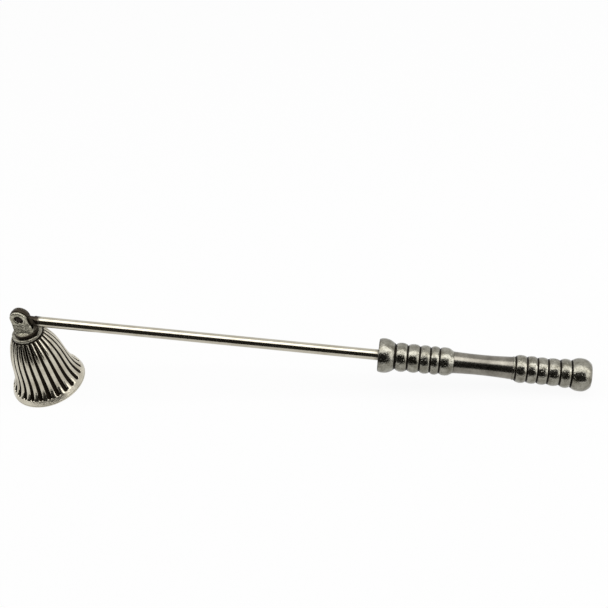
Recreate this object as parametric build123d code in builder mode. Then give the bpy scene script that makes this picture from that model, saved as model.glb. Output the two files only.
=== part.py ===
"""Long-handled candle snuffer: a fluted hollow bell hinged to a rod with a turned handle.

Millimetres, +Z up. The origin is the centre of the bell's rim, where the bell stands,
and +X points along the rod towards the handle. The rod slopes down from the hinge
until the end knob touches the surface that the rim stands on.
"""

import os
from math import acos, asin, atan2, cos, degrees, hypot, sin

from build123d import *

os.makedirs("parts", exist_ok=True)

# Clearances, shared by all the pieces
bore_clearance = 0.05
cheek_clearance = 0.1
tongue_clearance = 2.4
overrun = 1.0

# Bell
rim_radius = 17.5
lip_height = 0.9
band_radius = 16.6
band_height = 3.2
flare_radius = 13.9
waist_radius = 12.3
shoulder_radius = 10.3
crown_radius = 7.6
bell_height = 31.4
flare_height_share = 0.3
waist_height_share = 0.6
shoulder_height_share = 0.83
bell_wall = 1.9
lip_rounding_share = 0.2
flute_count = 24
flute_turn_share = 0.64
flute_foot_share = 0.03
flute_waist_share = 0.55
flute_foot_depth_share = 0.5
flute_waist_depth_share = 0.33
flute_crown_depth_share = 0.22

# Crown ring
ring_radius = 7.0
ring_height = 1.8
ring_chamfer_share = 0.2

# Yoke and its stud
stud_radius = 2.0
stud_tip_length = 1.0
stud_chamfer_share = 0.2
foot_radius = 5.5
foot_height = 1.3
foot_rounding_share = 0.4
base_height = 2.0
cheek_radius = 4.2
cheek_thickness = 1.3
cheek_rounding_share = 0.3

# Washer and nut inside the bell
washer_radius = 4.5
washer_thickness = 0.8
nut_sides = 6
nut_across_flats = 7.0
nut_height = 3.0

# Hinge pin
pin_radius = 1.9
pin_recess = 0.5
pin_chamfer_share = 0.12

# Rod
tongue_radius = 4.5
tongue_thickness = 1.6
shoulder_gap = 3.0
rod_radius = 2.4
rod_drop = 1.6
shoulder_chamfer_share = 0.2
rod_thread_radius = 2.0

# Front grip; its place is measured along the rod from the hinge
grip_start = 163.0
collar_length = 7.2
collar_face_radius = 7.2
collar_radius = 7.55
collar_crest_share = 0.45
bead_gap = 0.5
front_beads_length = 23.8
front_bead_radius = 6.4
front_groove_radius = 5.55
front_length_shares = (0.22, 0.22, 0.19, 0.165, 0.205)
front_crest_shares = (1.0, 0.985, 0.975, 0.97, 0.965)
nose_length = 1.3

# Middle sleeve
sleeve_length = 24.9
sleeve_front_radius = 4.75
sleeve_waist_radius = 4.45
sleeve_rear_radius = 4.9

# Rear grip
step_length = 1.0
step_radius = 5.15
step_gap = 0.6
rear_beads_length = 23.0
rear_bead_radius = 6.3
rear_groove_radius = 5.4
rear_length_shares = (0.185, 0.19, 0.19, 0.22, 0.215)
rear_crest_shares = (0.96, 0.95, 0.94, 0.945, 1.0)

# End knob
knob_radius = 7.1
knob_neck_radius = 5.75
knob_swell_length = 4.2
knob_swell_share = 0.4
knob_swell_radius_share = 0.95
knob_round_share = 0.73
knob_cap_share = 0.73
knob_dome_share = 0.07
knob_end_wall = 3.4

# Heights up the bell and the hinge
ring_top = bell_height + ring_height
slot_floor = ring_top + base_height
pivot_height = slot_floor + tongue_clearance + tongue_radius
washer_bottom = bell_height - bell_wall - washer_thickness
nut_bottom = washer_bottom - nut_height
stud_bottom = nut_bottom - stud_tip_length

# Thicknesses across the hinge
slot_half_width = tongue_thickness / 2 + cheek_clearance
yoke_half_thickness = slot_half_width + cheek_thickness

# Distances along the rod from the hinge
rod_shoulder = cheek_radius + shoulder_gap
beads_start = grip_start + collar_length
nose_start = beads_start + front_beads_length
sleeve_start = nose_start + nose_length
rear_start = sleeve_start + sleeve_length
rear_beads_start = rear_start + step_length + step_gap
knob_start = rear_beads_start + rear_beads_length

# The knob's end: a round from its widest ring to the edge of a slightly domed cap
round_radius = knob_round_share * knob_radius
round_centre = knob_radius - round_radius
cap_radius = knob_cap_share * knob_radius
cap_dome = knob_dome_share * cap_radius
dome_radius = (cap_radius**2 + cap_dome**2) / (2 * cap_dome)
round_angle = acos((cap_radius - round_centre) / round_radius)
knob_crest = knob_start + knob_swell_length
cap_edge = knob_crest + round_radius * sin(round_angle)
knob_tip = cap_edge + cap_dome
rod_end = knob_tip - knob_end_wall

# The rod's slope, at which the round of the knob just touches the floor. The rod's axis
# passes below the hinge pin, so that the tongue's eye stands a little proud of the bar.
round_drop = round_centre + rod_drop
round_reach = hypot(knob_crest, round_drop)
rod_slope = asin((pivot_height - round_radius) / round_reach) - atan2(round_drop, knob_crest)

rod_plane = Plane(
    origin=(-rod_drop * sin(rod_slope), 0, pivot_height - rod_drop * cos(rod_slope)),
    x_dir=(cos(rod_slope), 0, -sin(rod_slope)),
    z_dir=(0, -1, 0),
)
rod_axis = Axis(rod_plane.origin, rod_plane.x_dir)
grip_bore = rod_radius + bore_clearance
stud_bore = stud_radius + bore_clearance
pin_bore = pin_radius + bore_clearance


def draw_beads(start, total_length, length_shares, crest_radii, groove_radius):
    """Draw a row of barrel-shaped beads, each with a narrow flat groove before it."""
    position = start
    for share, crest in zip(length_shares, crest_radii):
        bead_start = position + bead_gap
        bead_end = position + share * total_length
        Line((position, groove_radius), (bead_start, groove_radius))
        ThreePointArc(
            (bead_start, groove_radius),
            ((bead_start + bead_end) / 2, crest),
            (bead_end, groove_radius),
        )
        position = bead_end


# Bell: a thin ogee casting, open below, with flutes that run down to a plain rim band
bell_outline = [
    (band_radius, band_height),
    (flare_radius, flare_height_share * bell_height),
    (waist_radius, waist_height_share * bell_height),
    (shoulder_radius, shoulder_height_share * bell_height),
    (crown_radius, bell_height),
]

hollow_outline = [(radius - bell_wall, height) for radius, height in bell_outline[:-1]]
hollow_outline.append((crown_radius - bell_wall, bell_height - bell_wall))

with BuildPart() as flute_cutter:
    with BuildLine(Plane.XZ) as flute_path:
        side = Spline(*bell_outline, mode=Mode.PRIVATE)
        run = add(side.trim(flute_foot_share, 1)).edge()
        Line(run @ 1, run @ 1 + (run % 1) * overrun)
    path = flute_path.wire()
    flute_depth_shares = {
        0: flute_foot_depth_share,
        flute_waist_share: flute_waist_depth_share,
        1: flute_crown_depth_share,
    }
    for place, depth_share in flute_depth_shares.items():
        with BuildSketch(Plane(path @ place, z_dir=path % place)):
            Circle(depth_share * bell_wall)
    sweep(path=path, multisection=True)
    with Locations(path @ 0):
        Sphere(flute_foot_depth_share * bell_wall)

with BuildPart() as bell:
    with BuildSketch(Plane.XZ):
        with BuildLine():
            Spline(*bell_outline)
            Polyline(
                (crown_radius, bell_height),
                (0, bell_height),
                (0, 0),
                (rim_radius, 0),
                (rim_radius, lip_height),
                (band_radius, band_height),
            )
        make_face()
    revolve(axis=Axis.Z)
    lip_edges = bell.edges().filter_by(GeomType.CIRCLE).group_by(SortBy.RADIUS)[-1]
    fillet(lip_edges, lip_rounding_share * bell_wall)
    with BuildSketch(Plane.XZ):
        with BuildLine():
            Spline(*hollow_outline)
            Polyline(
                hollow_outline[-1],
                (0, bell_height - bell_wall),
                (0, 0),
                (rim_radius - bell_wall, 0),
                hollow_outline[0],
            )
        make_face()
    revolve(axis=Axis.Z, mode=Mode.SUBTRACT)
    with Locations((0, 0, bell_height)):
        Hole(stud_bore)
    with PolarLocations(0, flute_count, start_angle=flute_turn_share * 360 / flute_count):
        add(flute_cutter.part, mode=Mode.SUBTRACT)
bell.part.label = "bell"
export_step(bell.part, "parts/bell.step")

# Crown ring: the plain collar between the bell and the yoke
with BuildPart() as crown_ring:
    with BuildSketch(Plane.XY.offset(bell_height)):
        Circle(ring_radius)
        Circle(stud_bore, mode=Mode.SUBTRACT)
    extrude(amount=ring_height)
    ring_edges = crown_ring.edges().filter_by(GeomType.CIRCLE).group_by(SortBy.RADIUS)[-1]
    chamfer(ring_edges, ring_chamfer_share * ring_height)
crown_ring.part.label = "crown_ring"
export_step(crown_ring.part, "parts/crown_ring.step")

# Yoke: a round foot with two cheeks, and a stud that passes down through the crown
with BuildPart() as yoke:
    with BuildSketch(Plane.XZ):
        with Locations((0, pivot_height)):
            Circle(cheek_radius)
        with Locations((0, (ring_top + pivot_height) / 2)):
            Rectangle(2 * cheek_radius, pivot_height - ring_top)
    extrude(amount=yoke_half_thickness, both=True)
    fillet(yoke.edges().filter_by(Axis.Z), cheek_rounding_share * cheek_thickness)
    with BuildSketch(Plane.XZ) as foot_profile:
        with Locations((0, ring_top)):
            Rectangle(foot_radius, foot_height, align=(Align.MIN, Align.MIN))
        foot_corner = foot_profile.vertices().group_by(Axis.X)[-1].sort_by(Axis.Y)[-1]
        fillet(foot_corner, foot_rounding_share * foot_height)
    revolve(axis=Axis.Z)
    with BuildSketch(Plane.YZ):
        with Locations((0, slot_floor)):
            Rectangle(
                2 * slot_half_width,
                tongue_clearance + tongue_radius + cheek_radius + overrun,
                align=(Align.CENTER, Align.MIN),
            )
    extrude(amount=cheek_radius + foot_radius, both=True, mode=Mode.SUBTRACT)
    with BuildSketch(Plane.XZ):
        with Locations((0, pivot_height)):
            Circle(pin_bore)
    extrude(amount=yoke_half_thickness + overrun, both=True, mode=Mode.SUBTRACT)
    with BuildSketch(Plane.XY.offset(ring_top)):
        Circle(stud_radius)
    extrude(amount=stud_bottom - ring_top)
    chamfer(yoke.edges().group_by(Axis.Z)[0], stud_chamfer_share * stud_radius)
yoke.part.label = "yoke"
export_step(yoke.part, "parts/yoke.step")

# Washer and hexagon nut inside the bell, which clamp bell and ring up against the yoke
with BuildPart() as crown_washer:
    with BuildSketch(Plane.XY.offset(washer_bottom)):
        Circle(washer_radius)
        Circle(stud_bore, mode=Mode.SUBTRACT)
    extrude(amount=washer_thickness)
crown_washer.part.label = "crown_washer"
export_step(crown_washer.part, "parts/crown_washer.step")

with BuildPart() as crown_nut:
    with BuildSketch(Plane.XY.offset(nut_bottom)):
        RegularPolygon(nut_across_flats / 2, nut_sides, major_radius=False)
        Circle(stud_bore, mode=Mode.SUBTRACT)
    extrude(amount=nut_height)
crown_nut.part.label = "crown_nut"
export_step(crown_nut.part, "parts/crown_nut.step")

# Hinge pin: held in the cheeks, with both ends a little below their faces
with BuildPart() as hinge_pin:
    with BuildSketch(Plane.XZ):
        with Locations((0, pivot_height)):
            Circle(pin_radius)
    extrude(amount=yoke_half_thickness - pin_recess, both=True)
    chamfer(hinge_pin.edges().filter_by(GeomType.CIRCLE), pin_chamfer_share * pin_radius)
hinge_pin.part.label = "hinge_pin"
export_step(hinge_pin.part, "parts/hinge_pin.step")

# Rod: a flat round tongue at the hinge, then a plain bar that runs on through the handle
with BuildPart() as rod:
    with BuildSketch(rod_plane):
        with BuildLine():
            Polyline(
                (rod_shoulder, 0),
                (rod_shoulder, rod_radius),
                (knob_start, rod_radius),
                (knob_start, rod_thread_radius),
                (rod_end, rod_thread_radius),
                (rod_end, 0),
                close=True,
            )
        make_face()
    revolve(axis=rod_axis)
    shoulder_edge = rod.edges().filter_by(GeomType.CIRCLE).sort_by(Axis.X)[0]
    chamfer(shoulder_edge, shoulder_chamfer_share * rod_radius)
    with BuildSketch(rod_plane):
        with Locations((0, rod_drop)):
            Circle(tongue_radius)
        Rectangle(
            rod_shoulder + rod_radius,
            2 * rod_radius,
            align=(Align.MIN, Align.CENTER),
        )
    extrude(amount=tongue_thickness / 2, both=True)
    with BuildSketch(rod_plane):
        with Locations((0, rod_drop)):
            Circle(pin_bore)
    extrude(amount=tongue_thickness, both=True, mode=Mode.SUBTRACT)
rod.part.label = "rod"
export_step(rod.part, "parts/rod.step")

# Front grip: a flared collar and five beads, turned in one piece and slid on the rod
with BuildPart() as front_grip:
    with BuildSketch(rod_plane):
        with BuildLine():
            Line((grip_start, grip_bore), (grip_start, collar_face_radius))
            ThreePointArc(
                (grip_start, collar_face_radius),
                (grip_start + collar_crest_share * collar_length, collar_radius),
                (beads_start, front_groove_radius),
            )
            draw_beads(
                beads_start,
                front_beads_length,
                front_length_shares,
                [share * front_bead_radius for share in front_crest_shares],
                front_groove_radius,
            )
            Polyline(
                (nose_start, front_groove_radius),
                (sleeve_start, sleeve_front_radius),
                (sleeve_start, grip_bore),
                (grip_start, grip_bore),
            )
        make_face()
    revolve(axis=rod_axis)
front_grip.part.label = "front_grip"
export_step(front_grip.part, "parts/front_grip.step")

# Middle sleeve: a plain tube, slightly waisted, clamped between the two grips
with BuildPart() as middle_sleeve:
    with BuildSketch(rod_plane):
        with BuildLine():
            ThreePointArc(
                (sleeve_start, sleeve_front_radius),
                ((sleeve_start + rear_start) / 2, sleeve_waist_radius),
                (rear_start, sleeve_rear_radius),
            )
            Polyline(
                (rear_start, sleeve_rear_radius),
                (rear_start, grip_bore),
                (sleeve_start, grip_bore),
                (sleeve_start, sleeve_front_radius),
            )
        make_face()
    revolve(axis=rod_axis)
middle_sleeve.part.label = "middle_sleeve"
export_step(middle_sleeve.part, "parts/middle_sleeve.step")

# Rear grip: a thin raised step and five beads, the last of them a little larger
with BuildPart() as rear_grip:
    with BuildSketch(rod_plane):
        with BuildLine():
            Polyline(
                (rear_start, grip_bore),
                (rear_start, step_radius),
                (rear_start + step_length, step_radius),
                (rear_start + step_length, sleeve_rear_radius),
                (rear_beads_start, sleeve_rear_radius),
                (rear_beads_start, rear_groove_radius),
            )
            draw_beads(
                rear_beads_start,
                rear_beads_length,
                rear_length_shares,
                [share * rear_bead_radius for share in rear_crest_shares],
                rear_groove_radius,
            )
            Polyline(
                (knob_start, rear_groove_radius),
                (knob_start, grip_bore),
                (rear_start, grip_bore),
            )
        make_face()
    revolve(axis=rod_axis)
rear_grip.part.label = "rear_grip"
export_step(rear_grip.part, "parts/rear_grip.step")

# End knob: a rounded cap that screws on the rod's end and clamps the handle together
with BuildPart() as end_knob:
    with BuildSketch(rod_plane):
        with BuildLine():
            ThreePointArc(
                (knob_start, knob_neck_radius),
                (
                    knob_start + knob_swell_share * knob_swell_length,
                    knob_swell_radius_share * knob_radius,
                ),
                (knob_crest, knob_radius),
            )
            CenterArc((knob_crest, round_centre), round_radius, 90, -degrees(round_angle))
            RadiusArc((cap_edge, cap_radius), (knob_tip, 0), dome_radius)
            Polyline(
                (knob_tip, 0),
                (rod_end + bore_clearance, 0),
                (rod_end + bore_clearance, rod_thread_radius + bore_clearance),
                (knob_start, rod_thread_radius + bore_clearance),
                (knob_start, knob_neck_radius),
            )
        make_face()
    revolve(axis=rod_axis)
end_knob.part.label = "end_knob"
export_step(end_knob.part, "parts/end_knob.step")
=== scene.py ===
"""Looks of a long-handled candle snuffer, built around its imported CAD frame.

The frame is the CAD parts' own: the bell's rim stands on the floor at the origin, the rod runs
along +X down to the end knob, and the hinge pin lies along Y. Lengths are written in
millimetres and become metres where a mesh is made.
"""

from math import acos, asin, atan2, ceil, copysign, cos, hypot, pi, radians, sin, sqrt, tan, tau

import bmesh
import bpy
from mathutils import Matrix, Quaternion, Vector, noise


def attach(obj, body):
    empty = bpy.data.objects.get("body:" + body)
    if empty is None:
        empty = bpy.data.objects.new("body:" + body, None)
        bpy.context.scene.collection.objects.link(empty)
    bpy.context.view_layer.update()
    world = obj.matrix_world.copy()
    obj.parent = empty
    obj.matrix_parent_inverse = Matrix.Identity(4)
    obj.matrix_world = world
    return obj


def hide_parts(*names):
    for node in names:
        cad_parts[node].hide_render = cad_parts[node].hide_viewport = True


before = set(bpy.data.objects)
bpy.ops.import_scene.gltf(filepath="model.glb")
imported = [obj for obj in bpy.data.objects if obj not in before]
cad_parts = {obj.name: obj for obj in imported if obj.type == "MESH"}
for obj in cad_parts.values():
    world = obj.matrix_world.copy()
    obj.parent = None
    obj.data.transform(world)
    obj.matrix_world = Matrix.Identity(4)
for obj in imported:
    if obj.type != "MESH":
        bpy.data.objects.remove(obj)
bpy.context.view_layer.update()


# Studio: a pale floor in a white surround, a long lamp overhead, a smaller one on the right and
# a dark card bent round the front, which only mirrored rays meet. Polished metal mirrors the
# lamps as its bright bands and the card as its dark ones. Lengths in this section are metres.
mm = 0.001
floor_reach = 6.0
floor_colour = (0.9, 0.9, 0.9, 1)
floor_glow = 0.94
surround_level = 0.2
# each lamp's name, size, place, aim and radiance
lamps = (
    ("long_lamp", (4.0, 0.56), (0.15, 0.01, 0.8), (0.15, 0.01, 0.0), 2.1),
    ("side_lamp", (1.2, 0.8), (1.4, -0.35, 0.45), (0.1, 0.0, 0.0), 1.5),
)
card_middle, card_back, card_foot = 0.2, 0.7, 0.12
card_left_turn, card_right_turn, card_panels_across = -80, 52, 32
card_bottom, card_top, card_fall = 0.001, 1.5, 0.8
card_colour = (0.035, 0.033, 0.03, 1)


def add_step(tree, kind, inputs, **settings):
    """Add one step of a finish; an input is a plain value or another step's output."""
    step = tree.nodes.new(kind)
    for name, value in settings.items():
        setattr(step, name, value)
    for name, value in inputs.items():
        if isinstance(value, bpy.types.NodeSocket):
            tree.links.new(value, step.inputs[name])
        else:
            step.inputs[name].default_value = value
    return step


def mirrored_or_seen(tree):
    """1 for rays from the camera and for rays that metal or glass sends on, 0 for the rest."""
    path = add_step(tree, "ShaderNodeLightPath", {}).outputs
    either = add_step(
        tree,
        "ShaderNodeMath",
        {0: path["Is Camera Ray"], 1: path["Is Glossy Ray"]},
        operation="MAXIMUM",
    )
    inputs = {0: either.outputs[0], 1: path["Is Transmission Ray"]}
    return add_step(tree, "ShaderNodeMath", inputs, operation="MAXIMUM").outputs[0]


def stage_sheet(name, corners, panels):
    """A sheet of the studio, which is no part of the snuffer."""
    mesh = bpy.data.meshes.new(name)
    mesh.from_pydata(corners, [], panels)
    sheet = bpy.data.objects.new(name, mesh)
    bpy.context.scene.collection.objects.link(sheet)
    material = bpy.data.materials.new(name)
    material.use_nodes = True
    material.node_tree.nodes.clear()
    mesh.materials.append(material)
    return sheet, material.node_tree


floor_corners = [
    (right * floor_reach, back * floor_reach, 0)
    for right, back in ((-1, -1), (1, -1), (1, 1), (-1, 1))
]
floor_tree = stage_sheet("floor", floor_corners, [(0, 1, 2, 3)])[1]
lit = add_step(floor_tree, "ShaderNodeBsdfDiffuse", {"Color": floor_colour})
white = add_step(floor_tree, "ShaderNodeEmission", {"Color": (1, 1, 1, 1), "Strength": 1})
share = add_step(
    floor_tree,
    "ShaderNodeMath",
    {0: mirrored_or_seen(floor_tree), 1: floor_glow},
    operation="MULTIPLY",
)
blend = add_step(
    floor_tree,
    "ShaderNodeMixShader",
    {0: share.outputs[0], 1: lit.outputs[0], 2: white.outputs[0]},
)
add_step(floor_tree, "ShaderNodeOutputMaterial", {"Surface": blend.outputs[0]})

card_corners, card_panels = [], []
for step in range(card_panels_across + 1):
    swing = (card_right_turn - card_left_turn) * step / card_panels_across
    turn = radians(card_left_turn + swing)
    right, front = card_middle + card_back * sin(turn), card_back * cos(turn)
    foot = min(card_foot, front)
    card_corners += [
        (right, -foot, card_bottom),
        (right, -front, card_bottom),
        (right, -front, card_top * cos(turn) ** card_fall),
    ]
    if step:
        i = 3 * step
        card_panels += [(i - 3, i, i + 1, i - 2), (i - 2, i + 1, i + 2, i - 1)]
card, card_tree = stage_sheet("dark_card", card_corners, card_panels)
black = add_step(card_tree, "ShaderNodeBsdfDiffuse", {"Color": card_colour})
add_step(card_tree, "ShaderNodeOutputMaterial", {"Surface": black.outputs[0]})
card.visible_camera = card.visible_diffuse = card.visible_shadow = False

world = bpy.data.worlds.new("surround")
bpy.context.scene.world = world
world.use_nodes = True
world.node_tree.nodes.clear()
level = add_step(
    world.node_tree,
    "ShaderNodeMath",
    {0: mirrored_or_seen(world.node_tree), 1: 1 - surround_level, 2: surround_level},
    operation="MULTIPLY_ADD",
)
air = add_step(
    world.node_tree,
    "ShaderNodeBackground",
    {"Color": (1, 1, 1, 1), "Strength": level.outputs[0]},
)
add_step(world.node_tree, "ShaderNodeOutputWorld", {"Surface": air.outputs[0]})

for name, size, place, aim, radiance in lamps:
    lamp = bpy.data.lights.new(name, "AREA")
    lamp.shape = "RECTANGLE"
    lamp.size, lamp.size_y = size
    lamp.energy = radiance * pi * size[0] * size[1]
    stand = bpy.data.objects.new(name, lamp)
    stand.location = place
    stand.rotation_mode = "QUATERNION"
    stand.rotation_quaternion = (Vector(aim) - Vector(place)).to_track_quat("-Z", "Y")
    bpy.context.scene.collection.objects.link(stand)
bpy.context.scene.view_settings.view_transform = "Standard"


# Camera: close to the snuffer and above it, turned a little to the left and rolled, so that
# the handle runs away to the right. Its place, angles and lens were solved from the photograph.
camera_turn, camera_lift, camera_roll = radians(16.171), radians(41.606), radians(11.281)
camera_lens, camera_nearest = 57.316, 0.01
camera_right, camera_up, camera_back = 122.668, 36.868, 466.944

back = Vector(
    (
        sin(camera_turn) * cos(camera_lift),
        -cos(camera_turn) * cos(camera_lift),
        sin(camera_lift),
    )
)
camera = bpy.data.objects.new("camera", bpy.data.cameras.new("camera"))
camera.rotation_mode = "QUATERNION"
camera.rotation_quaternion = (-back).to_track_quat("-Z", "Y") @ Quaternion(
    (0, 0, 1), -camera_roll
)
camera.location = mm * (
    camera.rotation_quaternion @ Vector((camera_right, camera_up, camera_back))
)
camera.data.lens = camera_lens
camera.data.clip_start = camera_nearest
bpy.context.scene.collection.objects.link(camera)
bpy.context.scene.camera = camera


# Bell: a thin hollow casting in nickel plated brass, with 24 rounded flutes filed down it.
# The plate is polished on the ribs and on the plain rim band, tarnish and painted shade turn the
# flutes nearly black, painted shade darkens the ribs under the crown ring, and candle smoke has
# dulled the inside.
rim_radius, rim_chamfer = 17.5, 0.15
lip_height, lip_rounding, lip_groove = 0.9, 0.38, 0.12
# (height, how far in from the rim) above the lip's rounding, then heights up the plain band
lip_rows = ((0.65, 0.0), (0.8, 0.04))
band_rows = (1.05, 1.3, 2.0, 2.8)
# (radius, height) of the wall over the ribs, from the top of the band to the crown
bell_outline = ((16.6, 3.2), (13.9, 9.42), (12.3, 18.84), (10.3, 26.062), (7.6, 31.4))
bell_top = bell_outline[-1][1]
bell_wall = 1.9
crown_hole, crown_flat = 2.05, 7.1
hollow_flat, hollow_top, hollow_bottom, rim_bore_height = 5.2, 28.9, 3.2, 1.2
flute_count = 24
flute_turn = 0.64
flute_foot, flute_foot_lean = 4.05, 24
# (share of the flute's height, its depth); half its width is flute_spread times that
flute_depths = ((0.0, 0.95), (0.55, 0.63), (1.0, 0.42))
flute_spread = 1.12
flute_least, flute_fade = 0.03, 0.3
rib_crown, rib_fall = 0.22, 2.4
rib_insets = (0.08, 0.22, 0.5)
# painted shade on the ribs under the crown ring: how dark at the crown and how fast it fades
# downwards
crown_painted_shade, crown_painted_shade_fall = 0.35, 0.5
tip_steps, wall_steps, hollow_steps, lip_steps = 8, 52, 22, 4
bell_bare = (0.6, 0.565, 0.465, 1)
bell_dull = (0.42, 0.385, 0.305, 1)
bell_dark = (0.012, 0.009, 0.006, 1)
soot = (0.03, 0.027, 0.024, 1)


def through_points(points, x):
    """Height of the smooth curve that passes through a few (x, y) points."""
    total = 0.0
    for i, (x_here, y_here) in enumerate(points):
        weight = 1.0
        for j, (x_other, _) in enumerate(points):
            if i != j:
                weight *= (x - x_other) / (x_here - x_other)
        total += weight * y_here
    return total


def eased(profile, steps=4):
    """Break the sharp corners of a closed profile of (along, radius, easing)."""
    path = []
    previous, following = profile[-1:] + profile[:-1], profile[1:] + profile[:1]
    for before, corner, after in zip(previous, profile, following):
        here, ease = Vector(corner[:2]), corner[2]
        if not ease:
            path.append(tuple(here))
            continue
        start = here + (Vector(before[:2]) - here).normalized() * ease
        end = here + (Vector(after[:2]) - here).normalized() * ease
        for step in range(steps + 1):
            t = step / steps
            path.append(tuple(start * (1 - t) ** 2 + here * 2 * t * (1 - t) + end * t**2))
    return path


def ring_grid(rings):
    """Join closed rings of points, each to the next and the last to the first."""
    around = len(rings[0])
    points = [point for ring in rings for point in ring]
    panels = []
    for i in range(len(rings)):
        here, there = i * around, (i + 1) % len(rings) * around
        for j in range(around):
            k = (j + 1) % around
            panels.append((here + j, here + k, there + k, there + j))
    return points, panels


def make_piece(name, shells, material, sharp=50, wear=0.0, wear_size=3.0, marks=None):
    """Make one piece from its shells, with unevenness that only goes inwards."""
    points, panels = [], []
    for shell_points, shell_panels in shells:
        panels += [tuple(i + len(points) for i in panel) for panel in shell_panels]
        points += shell_points
    mesh = bpy.data.meshes.new(name)
    mesh.from_pydata([Vector(point) * mm for point in points], [], panels)
    for mark, values in (marks or {}).items():
        layer = mesh.attributes.new(mark, "FLOAT", "POINT")
        layer.data.foreach_set("value", values)
    work = bmesh.new()
    work.from_mesh(mesh)
    bmesh.ops.remove_doubles(work, verts=work.verts, dist=mm / 10000)
    bmesh.ops.recalc_face_normals(work, faces=work.faces)
    if wear:
        for point in work.verts:
            uneven = 0.5 + 0.5 * noise.noise(point.co / mm / wear_size)
            point.co -= point.normal * wear * mm * uneven
    work.to_mesh(mesh)
    work.free()
    mesh.shade_smooth()
    mesh.set_sharp_from_angle(angle=radians(sharp))
    mesh.materials.append(material)
    piece = bpy.data.objects.new(name, mesh)
    bpy.context.scene.collection.objects.link(piece)
    return piece


def new_effect(name, inputs, outputs):
    """A node group with named inputs and outputs, its input step and its output step."""
    group = bpy.data.node_groups.new(name, "ShaderNodeTree")
    for label, kind in inputs.items():
        group.interface.new_socket(label, in_out="INPUT", socket_type="NodeSocket" + kind)
    for label, kind in outputs.items():
        group.interface.new_socket(label, in_out="OUTPUT", socket_type="NodeSocket" + kind)
    return group, group.nodes.new("NodeGroupInput"), group.nodes.new("NodeGroupOutput")


# darkening of the plate: bare plate that has dulled in soft patches, with dark specks, and turned
# dark where its recess marks say; these marks carry both tarnish in hollows and painted shade
tarnish_and_shade, given, result = new_effect(
    "tarnish_and_shade",
    {
        "Bare": "Color",
        "Dull": "Color",
        "Dark": "Color",
        "Recess": "Float",
        "Patches": "Float",
        "Specks": "Float",
    },
    {"Color": "Color", "Darkening": "Float"},
)
spot = add_step(tarnish_and_shade, "ShaderNodeTexCoord", {}).outputs["Object"]
patch = add_step(
    tarnish_and_shade,
    "ShaderNodeTexNoise",
    {"Vector": spot, "Scale": given.outputs["Patches"], "Detail": 5.0, "Roughness": 0.6},
).outputs["Fac"]
speck = add_step(
    tarnish_and_shade,
    "ShaderNodeTexNoise",
    {"Vector": spot, "Scale": 1900.0, "Detail": 3.0, "Roughness": 0.65},
).outputs["Fac"]
patchy = add_step(
    tarnish_and_shade, "ShaderNodeMapRange", {"Value": patch, "From Min": 0.38, "From Max": 0.68}
).outputs["Result"]
dulled = add_step(
    tarnish_and_shade,
    "ShaderNodeMix",
    {0: patchy, 6: given.outputs["Bare"], 7: given.outputs["Dull"]},
    data_type="RGBA",
).outputs[2]
speckled = add_step(
    tarnish_and_shade, "ShaderNodeMapRange", {"Value": speck, "From Min": 0.54, "From Max": 0.7}
).outputs["Result"]
speckled = add_step(
    tarnish_and_shade, "ShaderNodeMath", {0: speckled, 1: given.outputs["Specks"]}, operation="MULTIPLY"
).outputs[0]
ragged = add_step(
    tarnish_and_shade, "ShaderNodeMath", {0: speck, 1: 0.5, 2: -0.25}, operation="MULTIPLY_ADD"
).outputs[0]
ragged = add_step(
    tarnish_and_shade, "ShaderNodeMath", {0: given.outputs["Recess"], 1: ragged}, operation="ADD"
).outputs[0]
deep = add_step(
    tarnish_and_shade, "ShaderNodeMapRange", {"Value": ragged, "From Min": 0.08, "From Max": 0.42}
).outputs["Result"]
darkening = add_step(
    tarnish_and_shade, "ShaderNodeMath", {0: deep, 1: speckled}, operation="MAXIMUM"
).outputs[0]
darkened = add_step(
    tarnish_and_shade,
    "ShaderNodeMix",
    {0: darkening, 6: dulled, 7: given.outputs["Dark"]},
    data_type="RGBA",
).outputs[2]
tarnish_and_shade.links.new(darkened, result.inputs["Color"])
tarnish_and_shade.links.new(darkening, result.inputs["Darkening"])

# cast_pits: the slightly uneven skin of a casting, with fine pits in it
cast_pits, given, result = new_effect(
    "cast_pits", {"Size": "Float", "Pitting": "Float"}, {"Height": "Float"}
)
spot = add_step(cast_pits, "ShaderNodeTexCoord", {}).outputs["Object"]
skin = add_step(
    cast_pits,
    "ShaderNodeTexNoise",
    {"Vector": spot, "Scale": given.outputs["Size"], "Detail": 4.0, "Roughness": 0.55},
).outputs["Fac"]
cell = add_step(
    cast_pits,
    "ShaderNodeTexVoronoi",
    {"Vector": spot, "Scale": given.outputs["Size"], "Randomness": 1.0},
).outputs["Distance"]
pit = add_step(
    cast_pits,
    "ShaderNodeMapRange",
    {"Value": cell, "From Min": 0.0, "From Max": 0.32, "To Min": -1.0, "To Max": 0.0},
).outputs["Result"]
height = add_step(
    cast_pits,
    "ShaderNodeMath",
    {0: pit, 1: given.outputs["Pitting"], 2: skin},
    operation="MULTIPLY_ADD",
).outputs[0]
cast_pits.links.new(height, result.inputs["Height"])

# fine_scratches: hair-thin marks from polishing, drawn out along one direction
fine_scratches, given, result = new_effect(
    "fine_scratches", {"Stretch": "Vector"}, {"Height": "Float"}
)
spot = add_step(fine_scratches, "ShaderNodeTexCoord", {}).outputs["Object"]
drawn = add_step(
    fine_scratches,
    "ShaderNodeVectorMath",
    {0: spot, 1: given.outputs["Stretch"]},
    operation="MULTIPLY",
).outputs[0]
hairs = add_step(
    fine_scratches,
    "ShaderNodeTexNoise",
    {"Vector": drawn, "Scale": 1.0, "Detail": 3.0, "Roughness": 0.7},
).outputs["Fac"]
fine_scratches.links.new(hairs, result.inputs["Height"])


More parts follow.
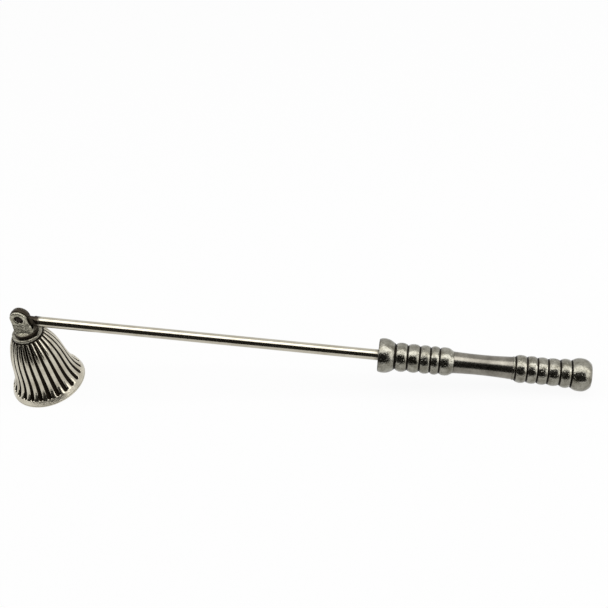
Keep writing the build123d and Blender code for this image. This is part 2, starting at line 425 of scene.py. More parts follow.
def plated_finish(
    name,
    bare,
    dull,
    dark,
    gloss,
    dullness,
    patches=140.0,
    specks=0.3,
    pits=900.0,
    pitting=0.4,
    pit_depth=0.03,
    stretch=(400.0, 2500.0, 2500.0),
    scratch_depth=0.004,
):
    """Worn nickel plate: gloss and dullness are its roughness where bare and where dark."""
    material = bpy.data.materials.new(name)
    material.use_nodes = True
    tree = material.node_tree
    shader = tree.nodes["Principled BSDF"]
    shader.inputs["Metallic"].default_value = 1.0
    recess = add_step(tree, "ShaderNodeAttribute", {}, attribute_name="recess").outputs["Fac"]
    plate_and_shade = add_step(
        tree,
        "ShaderNodeGroup",
        {
            "Bare": bare,
            "Dull": dull,
            "Dark": dark,
            "Recess": recess,
            "Patches": patches,
            "Specks": specks,
        },
        node_tree=tarnish_and_shade,
    )
    rough = add_step(
        tree,
        "ShaderNodeMapRange",
        {"Value": plate_and_shade.outputs["Darkening"], "To Min": gloss, "To Max": dullness},
    )
    skin = add_step(
        tree, "ShaderNodeGroup", {"Size": pits, "Pitting": pitting}, node_tree=cast_pits
    )
    hairs = add_step(tree, "ShaderNodeGroup", {"Stretch": stretch}, node_tree=fine_scratches)
    uneven = add_step(
        tree,
        "ShaderNodeBump",
        {"Height": skin.outputs["Height"], "Distance": pit_depth * mm, "Strength": 1.0},
    )
    brushed = add_step(
        tree,
        "ShaderNodeBump",
        {
            "Height": hairs.outputs["Height"],
            "Distance": scratch_depth * mm,
            "Strength": 1.0,
            "Normal": uneven.outputs["Normal"],
        },
    )
    tree.links.new(plate_and_shade.outputs["Color"], shader.inputs["Base Color"])
    tree.links.new(rough.outputs["Result"], shader.inputs["Roughness"])
    tree.links.new(brushed.outputs["Normal"], shader.inputs["Normal"])
    return material


def bell_radius(height):
    """Radius of the bell's outer wall, over the ribs."""
    band_radius, band_height = bell_outline[0]
    if height < band_height:
        share = (height - lip_height) / (band_height - lip_height)
        return rim_radius + share * (band_radius - rim_radius)
    return through_points([(z, r) for r, z in bell_outline], height)


def across_pitch(half_width, pitch):
    """Places across one flute and its rib, from the flute's near edge to the next one's."""
    flute = [half_width * sin(step * pi / 8) for step in range(-4, 5)]
    rib_half = pitch / 2 - half_width
    rib = [half_width + inset * rib_half for inset in rib_insets]
    rib += [pitch / 2] + [pitch - place for place in reversed(rib)]
    return flute + rib


def bell_ring(height, probe=0.05):
    """One ring round the outer wall and its recess marks, with the flutes cut into it."""
    radius = bell_radius(height)
    slope = (bell_radius(height + probe) - bell_radius(height - probe)) / (2 * probe)
    lean = sqrt(1 + slope * slope)
    share = max(0.0, (height - flute_foot) / (bell_top - flute_foot))
    depth = through_points(flute_depths, share)
    below = max(0.0, flute_foot - height) * lean
    half_width = flute_spread * sqrt(max(flute_least**2, depth * depth - below * below))
    fade = min(1.0, half_width / flute_fade)
    pitch = tau * radius / flute_count
    rib_half = pitch / 2 - half_width
    # painted shade on the ribs near the crown ring
    crown_shade_mark = crown_painted_shade - crown_painted_shade_fall * (bell_top - height)
    ring, marks = [], []
    for flute in range(flute_count):
        middle = (flute_turn + flute) * tau / flute_count
        for place in across_pitch(half_width, pitch):
            if abs(place) < half_width:
                # a flute's mark: tarnish in it and painted shade
                mark = sqrt(max(0.0, 1 - (place / half_width) ** 2))
                cut = rib_crown + mark * (half_width / flute_spread - rib_crown)
            else:
                mark = 0.0
                cut = rib_crown * (abs(pitch / 2 - place) / rib_half) ** rib_fall
            cut *= fade
            turn = middle + place / radius
            r, z = radius - cut / lean, height + cut * slope / lean
            ring.append((r * cos(turn), r * sin(turn), z))
            marks.append(max(mark * fade, crown_shade_mark))
    return ring, marks


def plain_ring(height, radius):
    """One plain ring with as many points as a fluted one."""
    pitch = tau * rim_radius / flute_count
    places = across_pitch(flute_depths[0][1], pitch)
    ring = []
    for flute in range(flute_count):
        for place in places:
            turn = ((flute_turn + flute) / flute_count + place / pitch / flute_count) * tau
            ring.append((radius * cos(turn), radius * sin(turn), height))
    return ring


rings, recess, inside = [], [], []


def bell_rows(rows, mark=0.0, smoke=0.0):
    """Add plain rings from (height, radius) rows."""
    for height, radius in rows:
        rings.append(plain_ring(height, radius))
        recess.extend([mark] * len(rings[-1]))
        inside.extend([smoke] * len(rings[-1]))


# up the outside, from the rim's inner edge to the crown
rim_inner = rim_radius - bell_wall
bell_rows([(0.0, rim_inner + rim_chamfer), (0.0, rim_radius - lip_rounding)])
for turn in [step * pi / 2 / lip_steps for step in range(1, lip_steps + 1)]:
    bell_rows([(lip_rounding * (1 - cos(turn)), rim_radius - lip_rounding * (1 - sin(turn)))])
bell_rows([(height, rim_radius - inset) for height, inset in lip_rows])
bell_rows([(lip_height, rim_radius - lip_groove)], mark=0.6)
bell_rows([(height, bell_radius(height)) for height in band_rows])
tip_reach = flute_depths[0][1] * cos(radians(flute_foot_lean))
heights = [flute_foot - tip_reach * cos(step * pi / 2 / tip_steps) for step in range(tip_steps + 1)]
flute_height = bell_top - flute_foot
heights += [flute_foot + flute_height * (step + 1) / wall_steps for step in range(wall_steps)]
for height in heights:
    ring, marks = bell_ring(height)
    rings.append(ring)
    recess.extend(marks)
    inside.extend([0.0] * len(ring))
bell_rows([(bell_top, crown_flat), (bell_top, crown_hole)], mark=0.6)
# down the inside, from the crown to the rim
crown_under = bell_top - bell_wall
bell_rows([(crown_under, crown_hole), (crown_under, hollow_flat)], mark=0.35, smoke=1.0)
for step in range(hollow_steps + 1):
    height = hollow_top - (hollow_top - hollow_bottom) * step / hollow_steps
    bell_rows([(height, bell_radius(height) - bell_wall)], mark=0.2, smoke=1.0)
bell_rows([(rim_bore_height, rim_inner), (rim_chamfer, rim_inner)], mark=0.1, smoke=0.6)

bell_plate = plated_finish(
    "bell_plate", bell_bare, bell_dull, bell_dark, gloss=0.17, dullness=0.5, pit_depth=0.06
)
tree = bell_plate.node_tree
smoke = add_step(tree, "ShaderNodeAttribute", {}, attribute_name="inside").outputs["Fac"]
spot = add_step(tree, "ShaderNodeTexCoord", {}).outputs["Object"]
drift = add_step(
    tree, "ShaderNodeTexNoise", {"Vector": spot, "Scale": 260.0, "Detail": 5.0}
).outputs["Fac"]
drift = add_step(
    tree, "ShaderNodeMapRange", {"Value": drift, "From Min": 0.25, "From Max": 0.65}
).outputs["Result"]
smoke = add_step(tree, "ShaderNodeMath", {0: smoke, 1: drift}, operation="MULTIPLY").outputs[0]
shader = tree.nodes["Principled BSDF"]
plate_colour = shader.inputs["Base Color"].links[0].from_socket
sooty = add_step(
    tree, "ShaderNodeMix", {0: smoke, 6: plate_colour, 7: soot}, data_type="RGBA"
).outputs[2]
tree.links.new(sooty, shader.inputs["Base Color"])
plate_rough = shader.inputs["Roughness"].links[0].from_socket
matt = add_step(
    tree, "ShaderNodeMath", {0: smoke, 1: 0.55, 2: plate_rough}, operation="MULTIPLY_ADD"
)
tree.links.new(matt.outputs[0], shader.inputs["Roughness"])

bell = make_piece(
    "bell_casting",
    [ring_grid(rings)],
    bell_plate,
    sharp=65,
    marks={"recess": recess, "inside": inside},
)
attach(bell, "bell_head")
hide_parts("bell")


# Crown ring: a plain turned collar between the bell and the yoke, with its corners broken.
# It is plated like the bell, darker and mottled with grime.
ring_radius, ring_height, ring_easing, ring_flat = 7.0, 1.8, 0.55, 6.1
ring_top = bell_top + ring_height
ring_bare = (0.31, 0.295, 0.24, 1)
ring_dull = (0.12, 0.11, 0.085, 1)
ring_dark = (0.03, 0.024, 0.017, 1)


def upright(height, radius, turn):
    """A point of a piece that is turned about the bell's axis."""
    return (radius * cos(turn), radius * sin(turn), height)


def turned(profile, place, sides=128):
    """Spin a closed profile of (along, radius) into a shell."""
    rings = []
    for step in range(sides):
        rings.append([place(along, radius, tau * step / sides) for along, radius in profile])
    return ring_grid(rings)


crown_ring = make_piece(
    "crown_ring_collar",
    [
        turned(
            eased(
                [
                    (bell_top, crown_hole, 0),
                    (bell_top, ring_flat, 0),
                    (bell_top, ring_radius, ring_easing),
                    (ring_top, ring_radius, ring_easing),
                    (ring_top, ring_flat, 0),
                    (ring_top, crown_hole, 0),
                ]
            ),
            upright,
        )
    ],
    plated_finish(
        "collar_plate",
        ring_bare,
        ring_dull,
        ring_dark,
        gloss=0.24,
        dullness=0.5,
        patches=450.0,
        specks=0.95,
        pitting=1.0,
        pit_depth=0.1,
    ),
    wear=0.06,
)
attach(crown_ring, "bell_head")
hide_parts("crown_ring")


# Yoke: a small casting with a round foot and two upright cheeks, drilled across for the pin.
# It was never polished as smooth as the bell, so its faces are pitted and its corners soft.
pivot_height = 42.1
foot_radius, foot_height, foot_easing, foot_corner = 5.5, 1.3, 0.5, 0.15
foot_crown, foot_crown_radius = 0.5, 3.9
base_height, base_easing = 2.0, 0.2
cheek_radius, cheek_thickness, cheek_easing = 4.2, 1.3, 0.4
slot_half_width = 0.9
cheek_outside = slot_half_width + cheek_thickness
buttress_root, buttress_reach, buttress_edge = slot_half_width + 0.2, 3.4, 1.0
buttress_bottom, buttress_top = ring_top + 0.4, pivot_height - 2.6
buttress_low_half, buttress_high_half = cheek_radius - 0.3, cheek_radius - 0.1
pin_bore = 1.95
yoke_bare = (0.5, 0.48, 0.385, 1)
yoke_dull = (0.19, 0.18, 0.135, 1)
yoke_dark = (0.035, 0.028, 0.02, 1)
casting_grain = 0.13
# how far up the foot the painted shade reaches, and how far across the far cheek it does
foot_shade_clean, foot_shade_full = ring_top + 2.0, ring_top + 1.2
far_cheek_shade_clean, far_cheek_shade_full = -1.4, 0.4


def plate_shell(outline, hole, near, far, edge, place, sides=96):
    """A flat plate with eased edges and a round hole; outline gives its radius at each angle."""
    bevel = 0.3 * edge
    rings = []
    for step in range(sides):
        turn = tau * step / sides
        outer = outline(turn)
        rings.append(
            [
                place(turn, hole, near + edge),
                place(turn, hole + edge, near),
                place(turn, outer - edge, near),
                place(turn, outer - bevel, near + bevel),
                place(turn, outer, near + edge),
                place(turn, outer, far - edge),
                place(turn, outer - bevel, far - bevel),
                place(turn, outer - edge, far),
                place(turn, hole + edge, far),
                place(turn, hole, far - edge),
            ]
        )
    return ring_grid(rings)


def slab_outline(turn, half_width, half_height):
    """Distance from a block's middle to its side at an angle."""
    least = 0.001
    width, height = max(abs(cos(turn)), least), max(abs(sin(turn)), least)
    return min(half_width / width, half_height / height)


def cheek_outline(turn):
    """Round top over straight sides that go down to the foot."""
    if sin(turn) >= 0:
        return cheek_radius
    return slab_outline(turn, cheek_radius, pivot_height - ring_top)


def on_cheek(turn, radius, across):
    """A point of a plate that stands upright, centred on the pin."""
    return (radius * cos(turn), across, pivot_height + radius * sin(turn))


def base_outline(turn):
    """The low block between the cheeks."""
    return slab_outline(turn, cheek_radius, base_height / 2)


def on_base(turn, radius, across):
    """A point of the low block."""
    return (radius * cos(turn), across, ring_top + base_height / 2 + radius * sin(turn))


def buttress(side):
    """The slope from a cheek's outer face down to the foot, nearly as wide as the cheek."""
    points = []
    for reach, height, half in (
        (buttress_root, buttress_bottom, buttress_high_half),
        (buttress_reach, buttress_bottom, buttress_low_half),
        (buttress_reach, buttress_bottom + buttress_edge, buttress_low_half),
        (cheek_outside, buttress_top, buttress_high_half),
        (buttress_root, buttress_top, buttress_high_half),
    ):
        points += [(place * half, side * reach, height) for place in (-1, 1)]
    panels = [(2 * i, 2 * i + 1, (2 * i + 3) % 10, (2 * i + 2) % 10) for i in range(5)]
    panels += [(0, 2, 4, 6, 8), (1, 3, 5, 7, 9)]
    return points, panels


foot_top = ring_top + foot_height
yoke_shells = [
    buttress(-1),
    buttress(1),
    plate_shell(
        cheek_outline, pin_bore, slot_half_width, cheek_outside, cheek_easing, on_cheek
    ),
    plate_shell(
        cheek_outline, pin_bore, -cheek_outside, -slot_half_width, cheek_easing, on_cheek
    ),
    plate_shell(base_outline, 0.0, -cheek_outside, cheek_outside, base_easing, on_base),
    turned(
        eased(
            [
                (ring_top, 0, 0),
                (ring_top, foot_radius, foot_corner),
                (foot_top, foot_radius, foot_easing),
                (foot_top + foot_crown, foot_crown_radius, foot_easing),
                (foot_top + foot_crown, 0, 0),
            ]
        ),
        upright,
        sides=96,
    ),
]
yoke_plate = plated_finish(
    "yoke_plate",
    yoke_bare,
    yoke_dull,
    yoke_dark,
    gloss=0.27,
    dullness=0.55,
    patches=600.0,
    specks=0.95,
    pits=900.0,
    pitting=1.0,
    pit_depth=0.16,
)
# painted shade round the foot, below the cheeks, and on the far cheek, which lies in shade behind
# the near one
tree = yoke_plate.node_tree
spot = add_step(tree, "ShaderNodeTexCoord", {}).outputs["Object"]
parts_of_spot = add_step(tree, "ShaderNodeSeparateXYZ", {"Vector": spot}).outputs
foot_painted_shade = add_step(
    tree,
    "ShaderNodeMapRange",
    {
        "Value": parts_of_spot["Z"],
        "From Min": foot_shade_full * mm,
        "From Max": foot_shade_clean * mm,
        "To Min": 0.5,
        "To Max": 0.0,
    },
).outputs["Result"]
far_cheek_painted_shade = add_step(
    tree,
    "ShaderNodeMapRange",
    {
        "Value": parts_of_spot["Y"],
        "From Min": far_cheek_shade_clean * mm,
        "From Max": far_cheek_shade_full * mm,
        "To Max": 0.4,
    },
).outputs["Result"]
yoke_painted_shade = add_step(
    tree, "ShaderNodeMath", {0: foot_painted_shade, 1: far_cheek_painted_shade}, operation="MAXIMUM"
).outputs[0]
plate_and_shade = next(step for step in tree.nodes if step.type == "GROUP" and step.node_tree == tarnish_and_shade)
tree.links.new(yoke_painted_shade, plate_and_shade.inputs["Recess"])
yoke = make_piece("yoke_casting", yoke_shells, yoke_plate)
fuse = yoke.modifiers.new("fuse", "REMESH")
fuse.mode = "VOXEL"
fuse.voxel_size = casting_grain * mm
fuse.use_smooth_shade = True
soften = yoke.modifiers.new("soften", "SMOOTH")
soften.factor = 0.5
soften.iterations = 4
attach(yoke, "bell_head")
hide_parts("yoke")


# Stud: the yoke's threaded end, which goes down through the ring and the bell's crown. Its
# tip shows below the nut, inside the bell.
stud_radius, stud_bottom, stud_top = 2.0, 24.7, 32.0
stud_chamfer, stud_steps, stud_sides = 0.5, 72, 64
thread_pitch, thread_depth = 0.7, 0.28
steel_bare = (0.52, 0.5, 0.46, 1)
steel_dull = (0.34, 0.32, 0.28, 1)
steel_dark = (0.05, 0.045, 0.038, 1)


def threaded(height, turn):
    """Radius of the stud with its thread cut in."""
    phase = (height / thread_pitch - turn / tau) % 1.0
    cut = thread_depth * abs(2 * phase - 1)
    chamfer = max(0.0, stud_chamfer - (height - stud_bottom))
    return stud_radius - max(cut, chamfer)


stud_rings = []
for turn in [tau * side / stud_sides for side in range(stud_sides)]:
    line = [upright(stud_bottom, 0, turn)]
    for step in range(stud_steps + 1):
        height = stud_bottom + (stud_top - stud_bottom) * step / stud_steps
        line.append(upright(height, threaded(height, turn), turn))
    stud_rings.append(line + [upright(stud_top, 0, turn)])
plain_steel = plated_finish(
    "zinc_steel", steel_bare, steel_dull, steel_dark, gloss=0.34, dullness=0.6, specks=0.5
)
stud = make_piece("yoke_stud", [ring_grid(stud_rings)], plain_steel, sharp=30)
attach(stud, "bell_head")
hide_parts("yoke")


# Washer and nut: plain zinc plated steel, inside the bell. The hexagon nut has the usual
# chamfer on its corners, top and bottom.
washer_radius, washer_top, washer_bottom = 4.5, 29.5, 28.7
washer_rounding, washer_bevel = 0.25, 0.1
nut_bottom, nut_half_flats, nut_sides = 25.7, 3.5, 6
nut_chamfer_share, nut_chamfer_angle, nut_bore_chamfer, nut_steps = 0.96, 30, 0.35, 120
washer = make_piece(
    "crown_washer_disc",
    [
        turned(
            eased(
                [
                    (washer_bottom, crown_hole, washer_bevel),
                    (washer_bottom, washer_radius, washer_rounding),
                    (washer_top, washer_radius, washer_bevel),
                    (washer_top, crown_hole, washer_bevel),
                ]
            ),
            upright,
            sides=96,
        )
    ],
    plain_steel,
    sharp=40,
)
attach(washer, "bell_head")
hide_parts("crown_washer")

nut_rings = []
shoulder = nut_chamfer_share * nut_half_flats
for step in range(nut_steps):
    turn = tau * step / nut_steps
    slice_angle = (turn + pi / nut_sides) % (tau / nut_sides) - pi / nut_sides
    flat = nut_half_flats / cos(slice_angle)
    drop = max(0.0, flat - shoulder) * tan(radians(nut_chamfer_angle))
    nut_rings.append(
        [
            upright(nut_bottom + nut_bore_chamfer, crown_hole, turn),
            upright(nut_bottom, crown_hole + nut_bore_chamfer, turn),
            upright(nut_bottom, shoulder, turn),
            upright(nut_bottom + drop, flat, turn),
            upright(washer_bottom - drop, flat, turn),
            upright(washer_bottom, shoulder, turn),
            upright(washer_bottom, crown_hole, turn),
        ]
    )
nut = make_piece("crown_nut_hexagon", [ring_grid(nut_rings)], plain_steel, sharp=20)
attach(nut, "bell_head")
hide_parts("crown_nut")


# Hinge pin: steel, driven through both cheeks, its near-black colour painted shade for the holes it
# sits in. Its ends are slightly domed and lie below the faces, so that each shows as a dark round
# spot.
pin_radius, pin_half_length = 1.9, 1.7
# the domed end: how far each point lies in from the tip, and its radius
pin_dome = ((0.0, 0), (0.0, 0.9), (0.08, 1.4), (0.25, 1.72), (0.55, pin_radius))
pin_shade_bare = (0.03, 0.024, 0.019, 1)
pin_shade_dull = (0.02, 0.015, 0.012, 1)
pin_shade_dark = (0.01, 0.008, 0.007, 1)


def along_pin(along, radius, turn):
    """A point of a piece that is turned about the hinge pin's axis."""
    return (radius * cos(turn), along, pivot_height + radius * sin(turn))


pin_profile = [(-pin_half_length + inset, radius) for inset, radius in pin_dome]
pin_profile += [(pin_half_length - inset, radius) for inset, radius in reversed(pin_dome)]
hinge_pin = make_piece(
    "hinge_pin_steel",
    [turned(pin_profile, along_pin, sides=64)],
    plated_finish(
        "pin_steel", pin_shade_bare, pin_shade_dull, pin_shade_dark, gloss=0.4, dullness=0.7, specks=0.6
    ),
)
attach(hinge_pin, "bell_head")
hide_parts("hinge_pin")


# Rod: a drawn steel bar with bright nickel plate, forged flat to a round tongue that turns on
# the pin between the cheeks. It runs on through the handle, where it can't be seen.
tongue_radius, tongue_half, tongue_edge = 4.5, 0.8, 0.18
tongue_overlap = 1.2
rod_shoulder, rod_radius, rod_drop = 7.2, 2.4, 1.6
grip_start = 163.0
rod_skin, rod_sag, rod_sag_length = 0.02, 0.02, 17
# the bar starts before its shoulder and turns round from there on, in short rows, then long ones
bar_lead, change_lead, change_length = 1.6, 1.0, 1.6
change_row, change_steps, plain_start, plain_row = 0.2, 14, 1.4, 2.0
bar_sides, thin_share = 96, 0.98
knob_crest_along, knob_round, knob_round_centre = 249.0, 5.183, 1.917
knob_drop = knob_round_centre + rod_drop
rod_slope = asin((pivot_height - knob_round) / hypot(knob_crest_along, knob_drop)) - atan2(
    knob_drop, knob_crest_along
)
rod_line = Vector((cos(rod_slope), 0, -sin(rod_slope)))
rod_up = Vector((sin(rod_slope), 0, cos(rod_slope)))
rod_side = Vector((0, 1, 0))
pin_point = Vector((0, 0, pivot_height))
rod_start = pin_point - rod_up * rod_drop
rod_bare = (0.5, 0.47, 0.39, 1)
rod_dull = (0.39, 0.36, 0.285, 1)
rod_dark = (0.04, 0.033, 0.024, 1)
# painted shade: how dark at most, and how fast and from where it grows towards the tongue, which
# sits in shade between the cheeks, and towards the grip, where the collar's shadow and dark
# reflection are painted
shade_most = 0.6
tongue_shade, tongue_shade_end = 0.35, rod_shoulder + 2.6
collar_shade, collar_shade_start = 0.12, grip_start - 2.5


def on_rod(along, radius, turn):
    """A point of a piece that is turned about the rod's axis."""
    return rod_start + rod_line * along + (rod_up * cos(turn) + rod_side * sin(turn)) * radius


def tongue_outline(turn):
    """The round eye, with the bar's full height where it runs into the bar below the pin."""
    if cos(turn) <= 0:
        return tongue_radius
    half_height = rod_radius - rod_drop if sin(turn) > 0 else rod_radius + rod_drop
    return max(tongue_radius, slab_outline(turn, rod_shoulder + tongue_overlap, half_height))


def on_tongue(turn, radius, across):
    """A point of the flat tongue."""
    return (
        pin_point
        + rod_line * radius * cos(turn)
        + rod_up * radius * sin(turn)
        + rod_side * across
    )


def bar_section(along):
    """One section of the bar: flat where it meets the tongue, then round."""
    grown = min(1.0, max(0.0, (along - rod_shoulder + change_lead) / change_length))
    grown = grown * grown * (3 - 2 * grown)
    thin = thin_share * tongue_half
    half_width = thin + (rod_radius - thin) * grown
    squareness = 2 / (7 - 5 * grown)
    swell = rod_sag * noise.noise(Vector((along / rod_sag_length, 0, 0))) - rod_skin
    section = []
    for turn in [tau * side / bar_sides for side in range(bar_sides)]:
        up, side = cos(turn), sin(turn)
        up = copysign(abs(up) ** squareness, up) * (rod_radius + swell)
        side = copysign(abs(side) ** squareness, side) * (half_width + swell)
        section.append(rod_start + rod_line * along + rod_up * up + rod_side * side)
    return section


start = rod_shoulder - bar_lead
rod_rows = [start + step * change_row for step in range(change_steps)]
plain_steps = ceil((grip_start - rod_shoulder) / plain_row) + 2
rod_rows += [rod_shoulder + plain_start + step * plain_row for step in range(plain_steps)]
end = rod_rows[-1]
bar_rings = [[rod_start + rod_line * start] * bar_sides]
bar_rings += [bar_section(along) for along in rod_rows]
bar_rings += [[rod_start + rod_line * end] * bar_sides]
tongue = plate_shell(
    tongue_outline, pin_bore, -tongue_half, tongue_half, tongue_edge, on_tongue
)
# painted shade over the whole tongue, and on the bar near the tongue and by the grip's collar
rod_shade_marks = [shade_most] * len(tongue[0])
for along in [start] + rod_rows + [end]:
    near_tongue = tongue_shade * (tongue_shade_end - along)
    near_grip = collar_shade * (along - collar_shade_start)
    rod_shade_marks += [min(shade_most, max(0.0, near_tongue, near_grip))] * bar_sides
rod = make_piece(
    "rod_bar",
    [tongue, ring_grid(bar_rings)],
    plated_finish(
        "rod_plate",
        rod_bare,
        rod_dull,
        rod_dark,
        gloss=0.13,
        dullness=0.35,
        patches=90.0,
        specks=0.12,
        pit_depth=0.006,
        stretch=(60.0, 2600.0, 2600.0),
        scratch_depth=0.006,
    ),
    sharp=40,
    marks={"recess": rod_shade_marks},
)
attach(rod, "handle")
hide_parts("rod")


# Front grip: a flared collar and five barrel-shaped beads, turned in one piece in brass and
# plated. Its skin is finely pitted, and its narrow grooves are dark with tarnish and painted shade.
grip_bore = 2.45
collar_length, collar_face, collar_crest, collar_crest_share = 7.2, 7.2, 7.55, 0.45
collar_flat, collar_easing, collar_band, collar_band_rise = 6.6, 0.45, 0.9, 0.17
bead_gap, bead_cut, bead_fullness = 0.36, 0.15, 0.8
# tarnish and painted shade in the grooves, fading up the beads' flanks
bead_tarnish_and_shade, bead_tarnish_and_shade_fall = 0.75, 2.0
# each bead's share of the row's length, and the radius of its crest
front_beads = ((0.22, 6.4), (0.22, 6.304), (0.19, 6.24), (0.165, 6.208), (0.205, 6.176))
front_beads_length = 23.8
front_groove = 5.55
nose_length, nose_lip, clean_points = 1.3, 0.02, 8
sleeve_front = 4.75
grip_bare = (0.31, 0.3, 0.255, 1)
grip_dull = (0.14, 0.13, 0.1, 1)
grip_dark = (0.02, 0.016, 0.012, 1)


def arc_through(first, middle, last, steps=16):
    """Points on the arc through three (along, radius) points."""
    ax, ay = first
    bx, by = middle
    cx, cy = last
    spread = 2 * (ax * (by - cy) + bx * (cy - ay) + cx * (ay - by))
    a, b, c = ax * ax + ay * ay, bx * bx + by * by, cx * cx + cy * cy
    x = (a * (by - cy) + b * (cy - ay) + c * (ay - by)) / spread
    y = (a * (cx - bx) + b * (ax - cx) + c * (bx - ax)) / spread
    radius = hypot(ax - x, ay - y)
    start, end = atan2(ay - y, ax - x), atan2(cy - y, cx - x)
    turns = [start + (end - start) * step / steps for step in range(steps + 1)]
    return [(x + radius * cos(turn), y + radius * sin(turn)) for turn in turns]


def beads(start, length, shares_and_crests, groove, first_gap):
    """A row of barrel-shaped beads, each after a narrow groove, and their recess marks."""
    path, marks = [], []
    place, gap = start, first_gap
    for share, crest in shares_and_crests:
        first, last = place + gap, place + share * length
        barrel = arc_through((first, groove), ((first + last) / 2, crest), (last, groove))
        rise = crest - groove
        barrel = [
            (along, groove + rise * max(0.0, (radius - groove) / rise) ** bead_fullness)
            for along, radius in barrel
        ]
        path += [(first - back * bead_gap, groove - bead_cut) for back in (0.8, 0.2)]
        marks += [1.0, 1.0]
        path += barrel
        marks += [
            max(0.0, bead_tarnish_and_shade - bead_tarnish_and_shade_fall * (radius - groove) / rise)
            for _, radius in barrel
        ]
        place, gap = last, bead_gap
    return path, marks


def turned_with_marks(name, profile, marks, material, wear, wear_size, sides=144):
    """A turned piece of the handle with recess marks along its profile."""
    shell = turned(profile, on_rod, sides)
    return make_piece(
        name,
        [shell],
        material,
        sharp=50,
        wear=wear,
        wear_size=wear_size,
        marks={"recess": marks * sides},
    )


beads_start = grip_start + collar_length
nose_start = beads_start + front_beads_length
sleeve_start = nose_start + nose_length
collar = eased(
    [
        (grip_start, grip_bore, 0),
        (grip_start, collar_flat, 0),
        (grip_start, collar_face, collar_easing),
        (grip_start + collar_band, collar_face + collar_band_rise, 0),
    ]
)[:-1]
collar_arc = arc_through(
    (grip_start, collar_face),
    (grip_start + collar_crest_share * collar_length, collar_crest),
    (beads_start, front_groove),
)[2:]
front_profile = collar + collar_arc
# painted shade on the collar's front face, and tarnish with painted shade where it runs down into
# the first groove
front_marks = [0.4] * 5 + [0.2] * 2 + [0.0] * (len(front_profile) - 9) + [0.3, 0.8]
bead_path, bead_marks = beads(
    beads_start, front_beads_length, front_beads, front_groove, first_gap=bead_gap
)
front_profile += bead_path
front_profile += [(sleeve_start, sleeve_front + nose_lip), (sleeve_start, grip_bore)]
# the last bead's rear half runs smoothly down to the sleeve and stays clean
front_marks += bead_marks[:-clean_points] + [0.0] * clean_points + [0.1, 0.0]
grip_plate = plated_finish(
    "grip_plate",
    grip_bare,
    grip_dull,
    grip_dark,
    gloss=0.2,
    dullness=0.5,
    patches=330.0,
    specks=0.6,
    pits=1000.0,
    pitting=1.0,
    pit_depth=0.09,
)
front_grip = turned_with_marks(
    "front_grip_beads", front_profile, front_marks, grip_plate, wear=0.12, wear_size=2.4
)
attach(front_grip, "handle")
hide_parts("front_grip")


# Middle sleeve: a plain tube with a very slight waist, clamped between the two grips. It is
# the smoothest piece of the handle.
sleeve_length, sleeve_waist, sleeve_rear = 24.9, 4.45, 4.9
sleeve_bare = (0.25, 0.235, 0.2, 1)
sleeve_dull = (0.13, 0.12, 0.1, 1)
rear_start = sleeve_start + sleeve_length
sleeve_arc = arc_through(
    (sleeve_start, sleeve_front),
    ((sleeve_start + rear_start) / 2, sleeve_waist),
    (rear_start, sleeve_rear),
    steps=30,
)
sleeve_profile = sleeve_arc + [(rear_start, grip_bore), (sleeve_start, grip_bore)]
# a little painted shade at each end, where the sleeve meets a grip
sleeve_marks = [0.2] + [0.0] * (len(sleeve_arc) - 2) + [0.15, 0.0, 0.0]
sleeve = turned_with_marks(
    "middle_sleeve_tube",
    sleeve_profile,
    sleeve_marks,
    plated_finish(
        "sleeve_plate",
        sleeve_bare,
        sleeve_dull,
        grip_dark,
        gloss=0.22,
        dullness=0.45,
        patches=160.0,
        specks=0.25,
        pit_depth=0.02,
        stretch=(70.0, 2400.0, 2400.0),
    ),
    wear=0.04,
    wear_size=6.0,
)
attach(sleeve, "handle")
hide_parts("middle_sleeve")


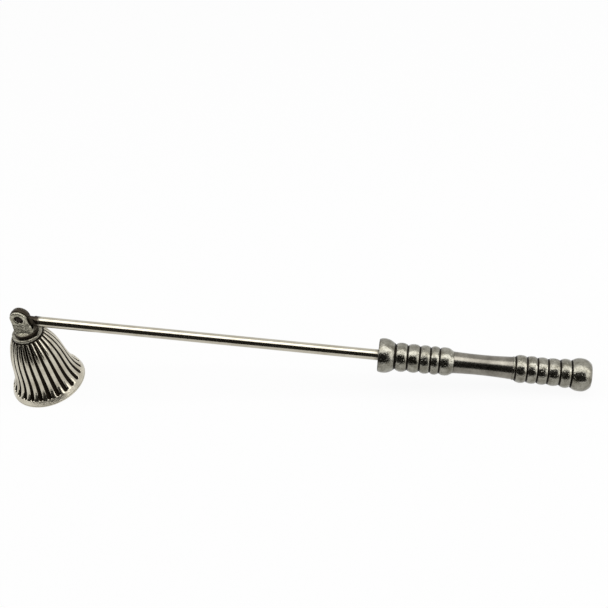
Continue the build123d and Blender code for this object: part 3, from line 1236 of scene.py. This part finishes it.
# Rear grip: a thin raised step and five beads, turned in one piece, the last of them a little
# larger. It is finished like the front grip.
step_length, step_radius, step_bevel, step_gap = 1.0, 5.15, 0.15, 0.6
first_bead_lead = -0.2
rear_beads = ((0.185, 6.048), (0.19, 5.985), (0.19, 5.922), (0.22, 5.954), (0.215, 6.3))
rear_beads_length = 23.0
rear_groove, rear_end_radius = 5.4, 5.2
rear_beads_start = rear_start + step_length + step_gap
knob_start = rear_beads_start + rear_beads_length
step_end = rear_start + step_length
rear_profile = [
    (rear_start, grip_bore),
    (rear_start, step_radius - step_bevel),
    (rear_start + step_bevel, step_radius),
    (step_end - step_bevel, step_radius),
    (step_end, step_radius - step_bevel),
    (step_end, sleeve_rear),
]
# tarnish and painted shade in the join from the step into the first bead, and at the far end by the
# knob
rear_marks = [0.1, 0.0, 0.0, 0.0, 0.3, 0.9]
bead_path, bead_marks = beads(
    rear_beads_start, rear_beads_length, rear_beads, rear_groove, first_gap=first_bead_lead
)
rear_profile += bead_path + [(knob_start, rear_end_radius), (knob_start, grip_bore)]
rear_marks += bead_marks + [1.0, 0.0]
rear_grip = turned_with_marks(
    "rear_grip_beads", rear_profile, rear_marks, grip_plate, wear=0.12, wear_size=2.4
)
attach(rear_grip, "handle")
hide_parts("rear_grip")


# End knob: a rounded cap with a slightly domed end, screwed on the rod. It is plated like the
# grips, and handling has kept its widest part bright.
knob_neck, knob_radius, knob_swell = 5.75, 7.1, 4.2
shoulder_along_share, shoulder_radius_share = 0.4, 0.95
cap_share, dome_share, round_steps, dome_steps = 0.73, 0.07, 16, 10
knob_cap = cap_share * knob_radius
knob_crest = knob_start + knob_swell
round_angle = acos((knob_cap - knob_round_centre) / knob_round)
cap_edge = knob_crest + knob_round * sin(round_angle)
cap_dome = dome_share * knob_cap
knob_profile = arc_through(
    (knob_start, knob_neck),
    (knob_start + shoulder_along_share * knob_swell, shoulder_radius_share * knob_radius),
    (knob_crest, knob_radius),
)[:-1]
for turn in [round_angle * step / round_steps for step in range(round_steps + 1)]:
    radius = knob_round_centre + knob_round * cos(turn)
    knob_profile.append((knob_crest + knob_round * sin(turn), radius))
for radius in [knob_cap * (1 - step / dome_steps) for step in range(1, dome_steps + 1)]:
    knob_profile.append((cap_edge + cap_dome * (1 - (radius / knob_cap) ** 2), radius))
knob_profile.append((knob_start, 0))
# tarnish and painted shade at the neck, where the knob meets the rear grip
knob_marks = [0.9, 0.4] + [0.0] * (len(knob_profile) - 2)
end_knob = turned_with_marks(
    "end_knob_cap", knob_profile, knob_marks, grip_plate, wear=0.05, wear_size=3.0
)
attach(end_knob, "handle")
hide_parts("end_knob")
